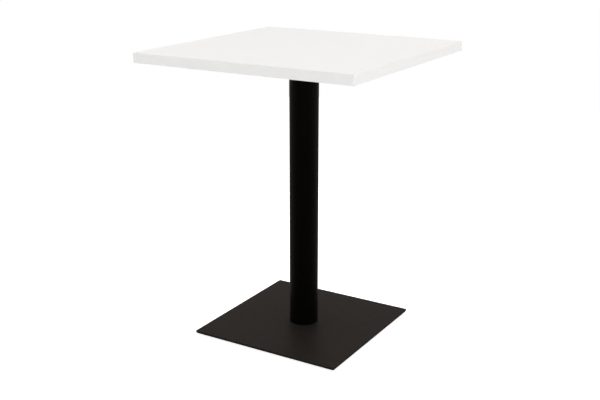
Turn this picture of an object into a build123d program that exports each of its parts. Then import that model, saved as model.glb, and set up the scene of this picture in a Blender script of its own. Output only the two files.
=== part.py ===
"""Bistro table: a square laminated top on a round steel column and a flat square base plate.

Millimetres, +Z up. The origin is on the floor under the middle of the table, and the front
of the table faces -Y. The table is at rest with its four levelling glides screwed fully home.
"""

from build123d import *
import os

os.makedirs("parts", exist_ok=True)

# Overall sizes
top_size = 600.0
top_thickness = 25.0
overall_height = 755.0
base_size = 420.0
base_thickness = 6.0
column_diameter = 76.0
column_wall = 2.0
column_end_chamfer = 0.4
plate_edge = 0.6

# Table top: a particle board core, laminate on both faces and a band on each edge
laminate_thickness = 0.8
laminate_hole_diameter = 10.6
laminate_bevel = 0.15
band_thickness = 2.0
arris_radius = 1.0

# Plate under the top
mounting_plate_size = 250.0
mounting_plate_thickness = 5.0
mounting_plate_corner = 12.0
mounting_hole_spacing = 210.0
mounting_hole_diameter = 7.0

# M6 button-head screws, washers and threaded inserts, which hold the top on
m6_diameter = 6.0
m6_length = 16.0
m6_head_diameter = 10.5
m6_head_height = 3.3
m6_head_round = 2.6
m6_key_size = 4.0
m6_key_depth = 2.1
washer_diameter = 12.0
washer_hole_diameter = 6.4
washer_thickness = 1.6
insert_diameter = 10.0
insert_length = 13.0
insert_pocket_depth = 15.0
insert_groove_count = 4
insert_groove_depth = 0.6
insert_groove_width = 1.2

# M8 countersunk screws, which hold the mounting plate and the base plate to the column
m8_diameter = 8.0
m8_length = 16.0
m8_head_diameter = 16.0
m8_key_size = 5.0
m8_key_depth = 2.8
m8_clearance_diameter = 9.0
countersink_diameter = 16.4
screw_circle_diameter = 44.0
screw_count = 4
first_screw_angle = 45.0

# Column and the discs welded inside its ends
disc_thickness = 12.0
disc_chamfer = 1.0

# Base plate
base_corner = 3.0

# Levelling glides: a sole stays still on the floor while the fluted screw above it turns
glide_inset = 35.0
sole_diameter = 22.0
sole_thickness = 2.0
sole_edge = 0.5
snap_neck_diameter = 9.9
snap_lip_diameter = 10.8
snap_lip_bottom = 2.9
snap_lip_top = 3.7
socket_mouth_diameter = 10.0
socket_diameter = 10.9
socket_mouth_top = 2.8
socket_top = 3.8
glide_head_diameter = 26.0
glide_head_height = 3.0
glide_head_edge = 0.4
flute_count = 24
flute_diameter = 2.0
glide_stud_diameter = 8.0
glide_stud_length = 4.5
glide_stud_chamfer = 0.5
glide_hole_diameter = 8.1
glide_hole_depth = 5.0

# Levels above the floor
base_bottom = sole_thickness + glide_head_height
base_top = base_bottom + base_thickness
top_underside = overall_height - top_thickness
mounting_plate_bottom = top_underside - mounting_plate_thickness
washer_bottom = mounting_plate_bottom - washer_thickness
m6_head_bottom = washer_bottom - m6_head_height
core_bottom = top_underside + laminate_thickness
core_top = overall_height - laminate_thickness

# Sizes that follow from the ones above
board_size = top_size - 2 * band_thickness
bore_diameter = column_diameter - 2 * column_wall
glide_offset = base_size / 2 - glide_inset
m8_head_sink = (countersink_diameter - m8_head_diameter) / 2
m8_head_height = (m8_head_diameter - m8_diameter) / 2
socket_depth = socket_top - sole_thickness

# Particle board core, with four blind pockets for the threaded inserts
with BuildPart() as top_core_board:
    with BuildSketch(Plane.XY.offset(core_bottom)):
        Rectangle(board_size, board_size)
    extrude(amount=core_top - core_bottom)
    with BuildSketch(Plane.XY.offset(top_underside)):
        with GridLocations(mounting_hole_spacing, mounting_hole_spacing, 2, 2):
            Circle(insert_diameter / 2)
    extrude(amount=insert_pocket_depth, mode=Mode.SUBTRACT)
top_core_board.part.label = "top_core_board"
export_step(top_core_board.part, "parts/top_core_board.step")

# White laminate that makes the table's surface, eased along its rim where it meets the bands
with BuildPart() as top_face_laminate:
    with BuildSketch(Plane.XY.offset(core_top)):
        Rectangle(board_size, board_size)
    extrude(amount=laminate_thickness)
    chamfer(top_face_laminate.edges().group_by(Axis.Z)[-1], length=laminate_bevel)
top_face_laminate.part.label = "top_face_laminate"
export_step(top_face_laminate.part, "parts/top_face_laminate.step")

# Balancing laminate under the core, eased along its rim and drilled through at each insert
with BuildPart() as top_backing_laminate:
    with BuildSketch(Plane.XY.offset(top_underside)):
        Rectangle(board_size, board_size)
    extrude(amount=laminate_thickness)
    chamfer(top_backing_laminate.edges().group_by(Axis.Z)[0], length=laminate_bevel)
    with BuildSketch(Plane.XY.offset(top_underside)):
        with GridLocations(mounting_hole_spacing, mounting_hole_spacing, 2, 2):
            Circle(laminate_hole_diameter / 2)
    extrude(amount=laminate_thickness, mode=Mode.SUBTRACT)
top_backing_laminate.part.label = "top_backing_laminate"
export_step(top_backing_laminate.part, "parts/top_backing_laminate.step")

# Edge bands: the side bands go on first, and the front and back bands cover their ends
for side, turn, length in (
    ("front", 0, top_size),
    ("right", 90, board_size),
    ("back", 180, top_size),
    ("left", 270, board_size),
):
    along = Vector(1, 0, 0).rotate(Axis.Z, turn)
    outward = Vector(0, -1, 0).rotate(Axis.Z, turn)
    glue_centre = outward * (board_size / 2) + Vector(0, 0, top_underside + top_thickness / 2)
    glue_plane = Plane(origin=glue_centre, x_dir=along, z_dir=outward)
    with BuildPart() as edge_band:
        with BuildSketch(glue_plane):
            Rectangle(length, top_thickness)
        extrude(amount=band_thickness)
        glue_face, show_face = edge_band.faces().filter_by(glue_plane).sort_by(
            Axis(glue_centre, outward)
        )
        if length == top_size:
            rounded_edges = edge_band.edges() - glue_face.edges()
        else:
            rounded_edges = show_face.edges().filter_by(Axis((0, 0, 0), along))
        fillet(rounded_edges, radius=arris_radius)
    edge_band.part.label = f"edge_band_{side}"
    export_step(edge_band.part, f"parts/edge_band_{side}.step")

# Threaded inserts, driven flush into the underside of the board
with BuildPart() as top_threaded_inserts:
    with BuildSketch(Plane.XY.offset(top_underside)):
        with GridLocations(mounting_hole_spacing, mounting_hole_spacing, 2, 2):
            Circle(insert_diameter / 2)
            Circle(m6_diameter / 2, mode=Mode.SUBTRACT)
    extrude(amount=insert_length)
    groove_pitch = insert_length / (insert_groove_count + 1)
    for groove in range(1, insert_groove_count + 1):
        with BuildSketch(Plane.XY.offset(top_underside + groove * groove_pitch)):
            with GridLocations(mounting_hole_spacing, mounting_hole_spacing, 2, 2):
                Circle(insert_diameter / 2)
                Circle(insert_diameter / 2 - insert_groove_depth, mode=Mode.SUBTRACT)
        extrude(amount=insert_groove_width / 2, both=True, mode=Mode.SUBTRACT)
top_threaded_inserts.part.label = "top_threaded_inserts"
export_step(top_threaded_inserts.part, "parts/top_threaded_inserts.step")

# Steel plate that carries the top, countersunk from above for the column's head screws
with BuildPart() as mounting_plate:
    with BuildSketch(Plane.XY.offset(mounting_plate_bottom)):
        RectangleRounded(mounting_plate_size, mounting_plate_size, mounting_plate_corner)
    extrude(amount=mounting_plate_thickness)
    fillet(mounting_plate.edges().group_by(Axis.Z)[-1], radius=plate_edge)
    fillet(mounting_plate.edges().group_by(Axis.Z)[0], radius=plate_edge)
    with Locations(Plane.XY.offset(top_underside)):
        with GridLocations(mounting_hole_spacing, mounting_hole_spacing, 2, 2):
            Hole(mounting_hole_diameter / 2)
        with PolarLocations(screw_circle_diameter / 2, screw_count, start_angle=first_screw_angle):
            CounterSinkHole(m8_clearance_diameter / 2, countersink_diameter / 2, counter_sink_angle=90)
mounting_plate.part.label = "mounting_plate"
export_step(mounting_plate.part, "parts/mounting_plate.step")

# Washers under the heads of the mounting screws
with BuildPart() as mounting_washers:
    with BuildSketch(Plane.XY.offset(washer_bottom)):
        with GridLocations(mounting_hole_spacing, mounting_hole_spacing, 2, 2):
            Circle(washer_diameter / 2)
            Circle(washer_hole_diameter / 2, mode=Mode.SUBTRACT)
    extrude(amount=washer_thickness)
mounting_washers.part.label = "mounting_washers"
export_step(mounting_washers.part, "parts/mounting_washers.step")

# Mounting screws: domed heads below the plate, with hexagon sockets that open downwards
with BuildPart() as mounting_screws:
    with BuildSketch(Plane.XY.offset(washer_bottom)):
        with GridLocations(mounting_hole_spacing, mounting_hole_spacing, 2, 2):
            Circle(m6_head_diameter / 2)
    extrude(amount=-m6_head_height)
    fillet(mounting_screws.edges().group_by(Axis.Z)[0], radius=m6_head_round)
    with BuildSketch(Plane.XY.offset(washer_bottom)):
        with GridLocations(mounting_hole_spacing, mounting_hole_spacing, 2, 2):
            Circle(m6_diameter / 2)
    extrude(amount=m6_length)
    with BuildSketch(Plane.XY.offset(m6_head_bottom)):
        with GridLocations(mounting_hole_spacing, mounting_hole_spacing, 2, 2):
            RegularPolygon(m6_key_size / 2, 6, major_radius=False)
    extrude(amount=m6_key_depth, mode=Mode.SUBTRACT)
mounting_screws.part.label = "mounting_screws"
export_step(mounting_screws.part, "parts/mounting_screws.step")

# Column tube, between the two plates, with its cut ends deburred
with BuildPart() as column_tube:
    with BuildSketch(Plane.XY.offset(base_top)):
        Circle(column_diameter / 2)
        Circle(bore_diameter / 2, mode=Mode.SUBTRACT)
    extrude(amount=mounting_plate_bottom - base_top)
    outer_edges = column_tube.edges().filter_by(GeomType.CIRCLE).group_by(SortBy.RADIUS)[-1]
    chamfer(outer_edges, length=column_end_chamfer)
column_tube.part.label = "column_tube"
export_step(column_tube.part, "parts/column_tube.step")

# End discs, welded inside the tube flush with its ends and tapped for the M8 screws
for disc_name, disc_bottom in (
    ("column_head_disc", mounting_plate_bottom - disc_thickness),
    ("column_foot_disc", base_top),
):
    with BuildPart() as end_disc:
        with BuildSketch(Plane.XY.offset(disc_bottom)):
            Circle(bore_diameter / 2)
        extrude(amount=disc_thickness)
        chamfer(end_disc.edges(), length=disc_chamfer)
        with BuildSketch(Plane.XY.offset(disc_bottom)):
            with PolarLocations(screw_circle_diameter / 2, screw_count, start_angle=first_screw_angle):
                Circle(m8_diameter / 2)
        extrude(amount=disc_thickness, mode=Mode.SUBTRACT)
    end_disc.part.label = disc_name
    export_step(end_disc.part, f"parts/{disc_name}.step")

# Countersunk screws: driven down through the mounting plate, and up through the base plate
for screws_name, seat_plane in (
    ("column_head_screws", Plane(origin=(0, 0, top_underside), z_dir=(0, 0, -1))),
    ("column_foot_screws", Plane(origin=(0, 0, base_bottom), z_dir=(0, 0, 1))),
):
    with BuildPart() as countersunk_screws:
        with BuildSketch(seat_plane.offset(m8_head_sink)):
            with PolarLocations(screw_circle_diameter / 2, screw_count, start_angle=first_screw_angle):
                Circle(m8_head_diameter / 2)
        extrude(amount=m8_head_height, taper=45)
        with BuildSketch(seat_plane.offset(m8_head_sink)):
            with PolarLocations(screw_circle_diameter / 2, screw_count, start_angle=first_screw_angle):
                Circle(m8_diameter / 2)
        extrude(amount=m8_length)
        with BuildSketch(seat_plane.offset(m8_head_sink)):
            with PolarLocations(screw_circle_diameter / 2, screw_count, start_angle=first_screw_angle):
                RegularPolygon(m8_key_size / 2, 6, major_radius=False)
        extrude(amount=m8_key_depth, mode=Mode.SUBTRACT)
    countersunk_screws.part.label = screws_name
    export_step(countersunk_screws.part, f"parts/{screws_name}.step")

# Base plate, countersunk and tapped from below, so that its upper face is unbroken
with BuildPart() as base_plate:
    with BuildSketch(Plane.XY.offset(base_bottom)):
        RectangleRounded(base_size, base_size, base_corner)
    extrude(amount=base_thickness)
    fillet(base_plate.edges().group_by(Axis.Z)[-1], radius=plate_edge)
    fillet(base_plate.edges().group_by(Axis.Z)[0], radius=plate_edge)
    with Locations(Plane(origin=(0, 0, base_bottom), z_dir=(0, 0, -1))):
        with PolarLocations(screw_circle_diameter / 2, screw_count, start_angle=first_screw_angle):
            CounterSinkHole(m8_clearance_diameter / 2, countersink_diameter / 2, counter_sink_angle=90)
    with BuildSketch(Plane.XY.offset(base_bottom)):
        with GridLocations(2 * glide_offset, 2 * glide_offset, 2, 2):
            Circle(glide_hole_diameter / 2)
    extrude(amount=glide_hole_depth, mode=Mode.SUBTRACT)
base_plate.part.label = "base_plate"
export_step(base_plate.part, "parts/base_plate.step")

# Levelling glides, one near each corner of the base plate
for corner, x_side, y_side in (
    ("front_left", -1, -1),
    ("front_right", 1, -1),
    ("back_left", -1, 1),
    ("back_right", 1, 1),
):
    spot = Plane(origin=(x_side * glide_offset, y_side * glide_offset, 0))

    # Sole, with a lipped boss that snaps into the screw's head
    with BuildPart() as glide_sole:
        with BuildSketch(spot):
            Circle(sole_diameter / 2)
        extrude(amount=sole_thickness)
        chamfer(glide_sole.edges().group_by(Axis.Z)[0], length=sole_edge)
        with BuildSketch(spot.offset(sole_thickness)):
            Circle(snap_neck_diameter / 2)
        extrude(amount=snap_lip_top - sole_thickness)
        with BuildSketch(spot.offset(snap_lip_bottom)):
            Circle(snap_lip_diameter / 2)
        extrude(amount=snap_lip_top - snap_lip_bottom)
    glide_sole.part.label = f"glide_sole_{corner}"
    export_step(glide_sole.part, f"parts/glide_sole_{corner}.step")

    # Screw, with a low fluted head for the fingers and a socket that holds the sole's boss
    with BuildPart() as glide_screw:
        with BuildSketch(spot.offset(sole_thickness)):
            Circle(glide_head_diameter / 2)
        extrude(amount=glide_head_height)
        chamfer(glide_screw.edges(), length=glide_head_edge)
        with BuildSketch(spot.offset(sole_thickness)):
            with PolarLocations(glide_head_diameter / 2, flute_count):
                Circle(flute_diameter / 2)
        extrude(amount=glide_head_height, mode=Mode.SUBTRACT)
        with BuildSketch(spot.offset(sole_thickness)):
            Circle(socket_mouth_diameter / 2)
        extrude(amount=socket_depth, mode=Mode.SUBTRACT)
        with BuildSketch(spot.offset(socket_mouth_top)):
            Circle(socket_diameter / 2)
        extrude(amount=socket_top - socket_mouth_top, mode=Mode.SUBTRACT)
        with BuildSketch(spot.offset(base_bottom)):
            Circle(glide_stud_diameter / 2)
        extrude(amount=glide_stud_length)
        chamfer(glide_screw.edges().group_by(Axis.Z)[-1], length=glide_stud_chamfer)
    glide_screw.part.label = f"glide_screw_{corner}"
    export_step(glide_screw.part, f"parts/glide_screw_{corner}.step")
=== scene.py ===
"""Looks of the bistro table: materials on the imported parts, a pale studio and the camera.

Every position is in metres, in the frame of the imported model: +Z up, the floor at z = 0,
the front of the table facing -Y.
"""

import math

import bpy
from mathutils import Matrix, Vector

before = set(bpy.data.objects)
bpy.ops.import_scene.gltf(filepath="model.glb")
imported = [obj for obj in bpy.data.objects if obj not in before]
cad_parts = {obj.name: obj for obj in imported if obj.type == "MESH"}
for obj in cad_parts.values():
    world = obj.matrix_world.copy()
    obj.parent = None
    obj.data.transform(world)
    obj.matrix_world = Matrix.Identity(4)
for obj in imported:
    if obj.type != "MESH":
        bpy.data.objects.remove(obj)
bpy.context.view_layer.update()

MM = 0.001

# The photograph's viewpoint. An azimuth of 0 is in front of the table, and 90 is to its right.
CAMERA_AZIMUTH = 31.14
CAMERA_ELEVATION = 17.24
CAMERA_DISTANCE = 2.4995
CAMERA_AIM_HEIGHT = 0.3528
CAMERA_AIM_RIGHT = -0.0104
CAMERA_LENS_MM = 57.07
CAMERA_SENSOR_MM = 36.0

# The floor's own light, as the camera sees it and as it falls on the table
FLOOR_RADIUS = 3.2
FLOOR_GLOW = 0.8
FLOOR_BOUNCE = 0.2

# The room that lights and reflects in the table: its tint, and its strength as a share of white
ROOM_TINT = (1.0, 0.93, 0.87, 1.0)
ROOM_BELOW = 0.45
ROOM_CEILING = 0.15
ROOM_NEAR = 0.03
ROOM_FAR = 0.6

# Softboxes: one over the table, and four of one size around it, whose radiance differs
OVERHEAD_HEIGHT = 4.0
OVERHEAD_SIZE = 6.5
OVERHEAD_RADIANCE = 1.6
SIDE_DISTANCE = 3.0
SIDE_HEIGHT = 1.1
SIDE_AIM_HEIGHT = 0.6
SIDE_SIZE = (2.4, 2.0)
SIDE_SOFTBOXES = {
    "front_softbox": (0, 1.98),
    "right_softbox": (90, 2.58),
    "back_softbox": (180, 1.7),
    "left_softbox": (270, 1.9),
}


# ---------------------------------------------------------------- material helpers

class Finish:
    """A node material with short calls for the nodes that the finishes below share.

    Its colour and roughness are the averages, and stay where a finish links nothing to them.
    """

    def __init__(self, name, colour, roughness, metallic=0.0):
        self.material = bpy.data.materials.new(name)
        self.material.use_nodes = True
        self.nodes = self.material.node_tree.nodes
        self.links = self.material.node_tree.links
        self.shader = self.nodes["Principled BSDF"]
        self.shader.inputs["Base Color"].default_value = (*colour, 1.0)
        self.shader.inputs["Roughness"].default_value = roughness
        self.shader.inputs["Metallic"].default_value = metallic
        self.place = self.nodes.new("ShaderNodeTexCoord").outputs["Object"]
        self.normal = None

    def stretched(self, x, y, z):
        """The surface's own coordinates, scaled by x, y and z."""
        mapping = self.nodes.new("ShaderNodeMapping")
        mapping.inputs["Scale"].default_value = (x, y, z)
        self.links.new(self.place, mapping.inputs["Vector"])
        return mapping.outputs["Vector"]

    def noise(self, grain, detail=3.0, roughness=0.5, vector=None):
        """Noise from 0 to 1 whose blobs are about `grain` metres across."""
        node = self.nodes.new("ShaderNodeTexNoise")
        node.inputs["Scale"].default_value = 1.0 / grain
        node.inputs["Detail"].default_value = detail
        node.inputs["Roughness"].default_value = roughness
        self.links.new(vector or self.place, node.inputs["Vector"])
        return node.outputs["Fac"]

    def cells(self, grain, vector):
        """Voronoi cells about `grain` metres across, each with a random colour of its own."""
        node = self.nodes.new("ShaderNodeTexVoronoi")
        node.inputs["Scale"].default_value = 1.0 / grain
        self.links.new(vector, node.inputs["Vector"])
        return node.outputs["Color"]

    def ramp(self, value, *stops):
        """Colours at places along a 0 to 1 value, as (place, (r, g, b))."""
        node = self.nodes.new("ShaderNodeValToRGB")
        elements = node.color_ramp.elements
        while len(elements) < len(stops):
            elements.new(0.5)
        for element, (where, colour) in zip(elements, stops):
            element.position = where
            element.color = (*colour, 1.0)
        self.links.new(value, node.inputs["Fac"])
        return node.outputs["Color"]

    def spread(self, value, low, high, start=0.3, end=0.7):
        """A value moved from the range start..end into low..high."""
        node = self.nodes.new("ShaderNodeMapRange")
        node.inputs["From Min"].default_value = start
        node.inputs["From Max"].default_value = end
        node.inputs["To Min"].default_value = low
        node.inputs["To Max"].default_value = high
        self.links.new(value, node.inputs["Value"])
        return node.outputs["Result"]

    def blend(self, a, b, share):
        """Two 0 to 1 values mixed, with `share` of the second one."""
        node = self.nodes.new("ShaderNodeMix")
        node.inputs["Factor"].default_value = share
        self.links.new(a, node.inputs["A"])
        self.links.new(b, node.inputs["B"])
        return node.outputs["Result"]

    def bump(self, height, depth, strength=1.0):
        """Adds relief `depth` metres deep, on top of any relief added before it."""
        node = self.nodes.new("ShaderNodeBump")
        node.inputs["Strength"].default_value = strength
        node.inputs["Distance"].default_value = depth
        self.links.new(height, node.inputs["Height"])
        if self.normal is not None:
            self.links.new(self.normal, node.inputs["Normal"])
        self.normal = node.outputs["Normal"]
        self.links.new(self.normal, self.shader.inputs["Normal"])

    def use(self, value, socket):
        """Feeds a value or a colour into one of the shader's sockets."""
        self.links.new(value, self.shader.inputs[socket])


# ---------------------------------------------------------------- finishes

def white_laminate():
    """Melamine laminate: near-white, with the fine pearl texture of its press plate."""
    finish = Finish("white_laminate", (0.86, 0.858, 0.851), 0.42)
    cloud = finish.noise(70 * MM, detail=3.0)
    pearl = finish.noise(2.0 * MM, detail=3.0, roughness=0.6)
    tone = finish.blend(cloud, pearl, 0.85)
    colour = finish.ramp(tone, (0.35, (0.84, 0.838, 0.831)), (0.65, (0.88, 0.878, 0.871)))
    finish.use(colour, "Base Color")
    finish.use(finish.spread(pearl, 0.34, 0.52), "Roughness")
    finish.bump(pearl, 0.15 * MM)
    finish.shader.inputs["Specular IOR Level"].default_value = 0.3
    return finish.material


def edge_band(name, along_x):
    """Extruded plastic band: a little smoother than the laminate, with faint drawn lines."""
    finish = Finish(name, (0.85, 0.848, 0.841), 0.36)
    if along_x:
        along_band = finish.stretched(0.02, 1.0, 1.0)
    else:
        along_band = finish.stretched(1.0, 0.02, 1.0)
    drawn = finish.noise(1.2 * MM, detail=2.0, vector=along_band)
    pearl = finish.noise(1.6 * MM, detail=2.0)
    tone = finish.blend(drawn, pearl, 0.6)
    colour = finish.ramp(tone, (0.35, (0.834, 0.832, 0.825)), (0.65, (0.866, 0.864, 0.857)))
    finish.use(colour, "Base Color")
    finish.use(finish.spread(drawn, 0.32, 0.42), "Roughness")
    finish.bump(drawn, 0.04 * MM)
    finish.bump(pearl, 0.06 * MM)
    finish.shader.inputs["Specular IOR Level"].default_value = 0.35
    return finish.material


def backing_laminate():
    """Balancing sheet on the underside: dull, pale, with short fibres."""
    finish = Finish("backing_laminate", (0.72, 0.71, 0.68), 0.62)
    fibres = finish.noise(1.6 * MM, detail=4.0, vector=finish.stretched(0.3, 1.0, 1.0))
    colour = finish.ramp(fibres, (0.3, (0.68, 0.67, 0.64)), (0.7, (0.75, 0.74, 0.71)))
    finish.use(colour, "Base Color")
    finish.bump(fibres, 0.03 * MM, strength=0.5)
    return finish.material


def particle_board():
    """Pressed wood chips of several browns."""
    finish = Finish("particle_board", (0.5, 0.36, 0.21), 0.8)
    chips = finish.cells(3 * MM, vector=finish.stretched(0.45, 0.8, 1.6))
    colour = finish.ramp(
        chips,
        (0.15, (0.34, 0.21, 0.1)),
        (0.5, (0.52, 0.37, 0.21)),
        (0.85, (0.68, 0.53, 0.34)),
    )
    finish.use(colour, "Base Color")
    finish.bump(finish.noise(0.7 * MM, detail=4.0), 0.15 * MM)
    return finish.material


def powder_coat(name, colour, roughness):
    """Satin black powder coat: a fine grain over orange peel and a gentle long wave."""
    finish = Finish(name, colour, roughness)
    grain = finish.noise(1.3 * MM, detail=3.0, roughness=0.6)
    peel = finish.noise(4.5 * MM, detail=2.0)
    wave = finish.noise(16 * MM, detail=1.0)
    tone = finish.blend(grain, peel, 0.3)
    dark = tuple(0.5 * part for part in colour)
    light = tuple(1.5 * part for part in colour)
    finish.use(finish.ramp(tone, (0.4, dark), (0.6, light)), "Base Color")
    finish.use(finish.spread(grain, roughness - 0.1, roughness + 0.1), "Roughness")
    finish.bump(wave, 0.04 * MM)
    finish.bump(peel, 0.1 * MM)
    finish.bump(grain, 0.14 * MM)
    finish.shader.inputs["Specular IOR Level"].default_value = 0.15
    return finish.material


def zinc_plate(name, colour):
    """Bright zinc plate: bluish steel with soft passivation clouds."""
    finish = Finish(name, colour, 0.32, metallic=0.6)
    clouds = finish.noise(2.5 * MM, detail=3.0)
    cool = (colour[0] * 0.93, colour[1] * 0.97, colour[2] * 1.04)
    warm = (colour[0] * 1.04, colour[1] * 1.0, colour[2] * 0.9)
    finish.use(finish.ramp(clouds, (0.3, cool), (0.7, warm)), "Base Color")
    finish.use(finish.spread(clouds, 0.26, 0.4), "Roughness")
    finish.bump(finish.noise(0.25 * MM, detail=2.0), 0.01 * MM, strength=0.6)
    return finish.material


def bare_steel():
    """Turned and lightly oiled steel, with rings about 0.6 mm apart."""
    finish = Finish("bare_steel", (0.4, 0.39, 0.38), 0.42, metallic=1.0)
    rings = finish.nodes.new("ShaderNodeTexWave")
    rings.wave_type = "RINGS"
    rings.rings_direction = "Z"
    rings.inputs["Scale"].default_value = 0.3 / (0.6 * MM)
    rings.inputs["Distortion"].default_value = 0.6
    finish.links.new(finish.place, rings.inputs["Vector"])
    finish.bump(rings.outputs["Fac"], 0.02 * MM, strength=0.6)
    stain = finish.noise(8 * MM)
    colour = finish.ramp(stain, (0.3, (0.34, 0.33, 0.32)), (0.7, (0.45, 0.44, 0.43)))
    finish.use(colour, "Base Color")
    return finish.material


def black_nylon():
    """Moulded black nylon, spark-eroded to a fine matte."""
    finish = Finish("black_nylon", (0.018, 0.018, 0.019), 0.55)
    spark = finish.noise(0.35 * MM, detail=3.0)
    colour = finish.ramp(spark, (0.35, (0.014, 0.014, 0.015)), (0.65, (0.024, 0.024, 0.025)))
    finish.use(colour, "Base Color")
    finish.use(finish.spread(spark, 0.48, 0.62), "Roughness")
    finish.bump(spark, 0.03 * MM, strength=0.8)
    return finish.material


def dress(node, material):
    """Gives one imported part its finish."""
    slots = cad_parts[node].data.materials
    slots.clear()
    slots.append(material)


laminate = white_laminate()
band_along_x = edge_band("white_edge_band_along_x", along_x=True)
band_along_y = edge_band("white_edge_band_along_y", along_x=False)
# The column's copy of the black powder coat holds painted shade. Its colour is darkened for the shade
# the column stands in below the tabletop.
column_coat_painted_shade = powder_coat("black_powder_coat_column_painted_shade", colour=(0.0018, 0.0015, 0.0011), roughness=0.42)
# The base plate's copy of the same coat holds painted light. It is lighter and warmer for the warm
# overhead light falling on the plate's top.
plate_coat_painted_light = powder_coat("black_powder_coat_plate_painted_light", colour=(0.015, 0.0116, 0.0099), roughness=0.5)
zinc = zinc_plate("zinc_plate", colour=(0.62, 0.62, 0.61))
steel = bare_steel()
nylon = black_nylon()

finishes = {
    "top_core_board": particle_board(),
    "top_face_laminate": laminate,
    "top_backing_laminate": backing_laminate(),
    "edge_band_front": band_along_x,
    "edge_band_back": band_along_x,
    "edge_band_left": band_along_y,
    "edge_band_right": band_along_y,
    "top_threaded_inserts": zinc_plate("zinc_insert", colour=(0.55, 0.54, 0.5)),
    "mounting_plate": plate_coat_painted_light,
    "mounting_washers": zinc,
    "mounting_screws": zinc,
    "column_tube": column_coat_painted_shade,
    "column_head_disc": steel,
    "column_foot_disc": steel,
    "column_head_screws": zinc,
    "column_foot_screws": zinc,
    "base_plate": plate_coat_painted_light,
}
for corner in ("front_left", "front_right", "back_left", "back_right"):
    finishes[f"glide_sole_{corner}"] = nylon
    finishes[f"glide_screw_{corner}"] = zinc
for node, material in finishes.items():
    dress(node, material)


# ---------------------------------------------------------------- studio

def around(azimuth_degrees, distance, height):
    """A place at an azimuth about the table, where 0 is in front of it and 90 is to its right."""
    azimuth = math.radians(azimuth_degrees)
    return Vector((distance * math.sin(azimuth), -distance * math.cos(azimuth), height))


def studio_floor():
    """A round floor, white to the camera, that lights the table less and isn't mirrored in it."""
    bpy.ops.mesh.primitive_circle_add(vertices=128, radius=FLOOR_RADIUS, fill_type="NGON")
    floor = bpy.context.object
    floor.name = "studio_floor"
    finish = Finish("studio_floor", (0.82, 0.82, 0.82), 0.9)
    paper = finish.noise(0.4, detail=1.0)
    colour = finish.ramp(paper, (0.3, (0.815, 0.815, 0.815)), (0.7, (0.825, 0.825, 0.825)))
    finish.use(colour, "Base Color")
    finish.shader.inputs["Specular IOR Level"].default_value = 0.0
    finish.shader.inputs["Emission Color"].default_value = (1.0, 1.0, 1.0, 1.0)
    seen = finish.nodes.new("ShaderNodeLightPath").outputs["Is Camera Ray"]
    glow = finish.spread(seen, FLOOR_BOUNCE, FLOOR_GLOW, start=0.0, end=1.0)
    finish.use(glow, "Emission Strength")
    floor.data.materials.append(finish.material)
    floor.visible_glossy = False


def studio_world():
    """White to the camera; as light, a room dimmer at the floor, at the ceiling and in front.

    Its strength is the product of three gradients, each along one direction of the look.
    """
    world = bpy.data.worlds.new("studio_world")
    world.use_nodes = True
    nodes = world.node_tree.nodes
    links = world.node_tree.links
    look = nodes.new("ShaderNodeTexCoord").outputs["Generated"]

    def gradient(direction, start, end, low, high):
        """From `low` to `high` as the look along `direction` goes from start to end."""
        along = nodes.new("ShaderNodeVectorMath")
        along.operation = "DOT_PRODUCT"
        links.new(look, along.inputs[0])
        along.inputs[1].default_value = direction
        step = nodes.new("ShaderNodeMapRange")
        step.interpolation_type = "SMOOTHSTEP"
        step.inputs["From Min"].default_value = start
        step.inputs["From Max"].default_value = end
        step.inputs["To Min"].default_value = low
        step.inputs["To Max"].default_value = high
        links.new(along.outputs["Value"], step.inputs["Value"])
        return step.outputs["Result"]

    def product(a, b):
        """Two values multiplied."""
        node = nodes.new("ShaderNodeMath")
        node.operation = "MULTIPLY"
        links.new(a, node.inputs[0])
        links.new(b, node.inputs[1])
        return node.outputs["Value"]

    up = Vector((0.0, 0.0, 1.0))
    away = -around(CAMERA_AZIMUTH, 1.0, 0.0)
    floor_part = gradient(up, start=-0.2, end=0.2, low=ROOM_BELOW, high=1.0)
    ceiling_part = gradient(up, start=0.2, end=0.6, low=1.0, high=ROOM_CEILING)
    depth_part = gradient(away, start=-0.7, end=0.7, low=ROOM_NEAR, high=ROOM_FAR)

    room = nodes["Background"]
    room.inputs["Color"].default_value = ROOM_TINT
    links.new(product(product(floor_part, ceiling_part), depth_part), room.inputs["Strength"])
    backdrop = nodes.new("ShaderNodeBackground")
    backdrop.inputs["Color"].default_value = (1.0, 1.0, 1.0, 1.0)
    chooser = nodes.new("ShaderNodeMixShader")
    links.new(nodes.new("ShaderNodeLightPath").outputs["Is Camera Ray"], chooser.inputs["Fac"])
    links.new(room.outputs["Background"], chooser.inputs[1])
    links.new(backdrop.outputs["Background"], chooser.inputs[2])
    links.new(chooser.outputs["Shader"], nodes["World Output"].inputs["Surface"])
    bpy.context.scene.world = world


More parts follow.
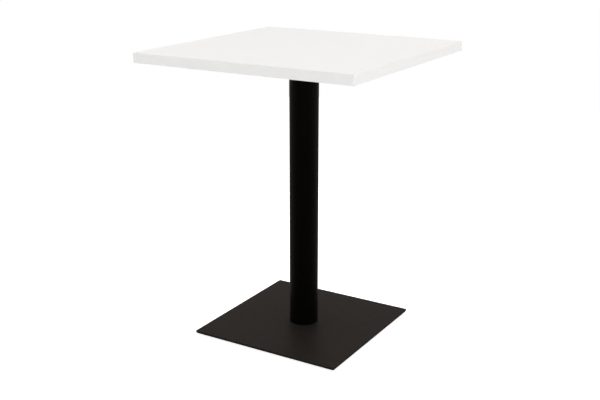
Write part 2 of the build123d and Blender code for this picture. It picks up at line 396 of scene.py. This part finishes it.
def softbox(name, place, aim, size, radiance):
    """A rectangular area light at `place`, turned towards `aim`, that glossy parts don't mirror."""
    width, height = size
    light = bpy.data.lights.new(name, "AREA")
    light.shape = "RECTANGLE"
    light.size = width
    light.size_y = height
    light.energy = radiance * math.pi * width * height
    lamp = bpy.data.objects.new(name, light)
    lamp.location = place
    lamp.rotation_euler = (aim - place).to_track_quat("-Z", "Y").to_euler()
    lamp.visible_glossy = False
    bpy.context.scene.collection.objects.link(lamp)


def studio_lights():
    """One softbox over the table, and four around it."""
    softbox(
        "overhead_softbox",
        place=Vector((0.0, 0.0, OVERHEAD_HEIGHT)),
        aim=Vector((0.0, 0.0, 0.0)),
        size=(OVERHEAD_SIZE, OVERHEAD_SIZE),
        radiance=OVERHEAD_RADIANCE,
    )
    for name, (azimuth, radiance) in SIDE_SOFTBOXES.items():
        softbox(
            name,
            place=around(azimuth, SIDE_DISTANCE, SIDE_HEIGHT),
            aim=Vector((0.0, 0.0, SIDE_AIM_HEIGHT)),
            size=SIDE_SIZE,
            radiance=radiance,
        )


def studio_camera():
    """The photograph's viewpoint: level horizon, no shift, no depth of field."""
    azimuth = math.radians(CAMERA_AZIMUTH)
    elevation = math.radians(CAMERA_ELEVATION)
    back = Vector((
        math.sin(azimuth) * math.cos(elevation),
        -math.cos(azimuth) * math.cos(elevation),
        math.sin(elevation),
    ))
    right = Vector((math.cos(azimuth), math.sin(azimuth), 0.0))
    aim = Vector((0.0, 0.0, CAMERA_AIM_HEIGHT)) + right * CAMERA_AIM_RIGHT
    data = bpy.data.cameras.new("camera")
    data.sensor_width = CAMERA_SENSOR_MM
    data.lens = CAMERA_LENS_MM
    eye = bpy.data.objects.new("camera", data)
    eye.location = aim + back * CAMERA_DISTANCE
    eye.rotation_euler = (math.radians(90) - elevation, 0.0, azimuth)
    bpy.context.scene.collection.objects.link(eye)
    bpy.context.scene.camera = eye


studio_floor()
studio_world()
studio_lights()
studio_camera()
bpy.context.scene.view_settings.view_transform = "Standard"
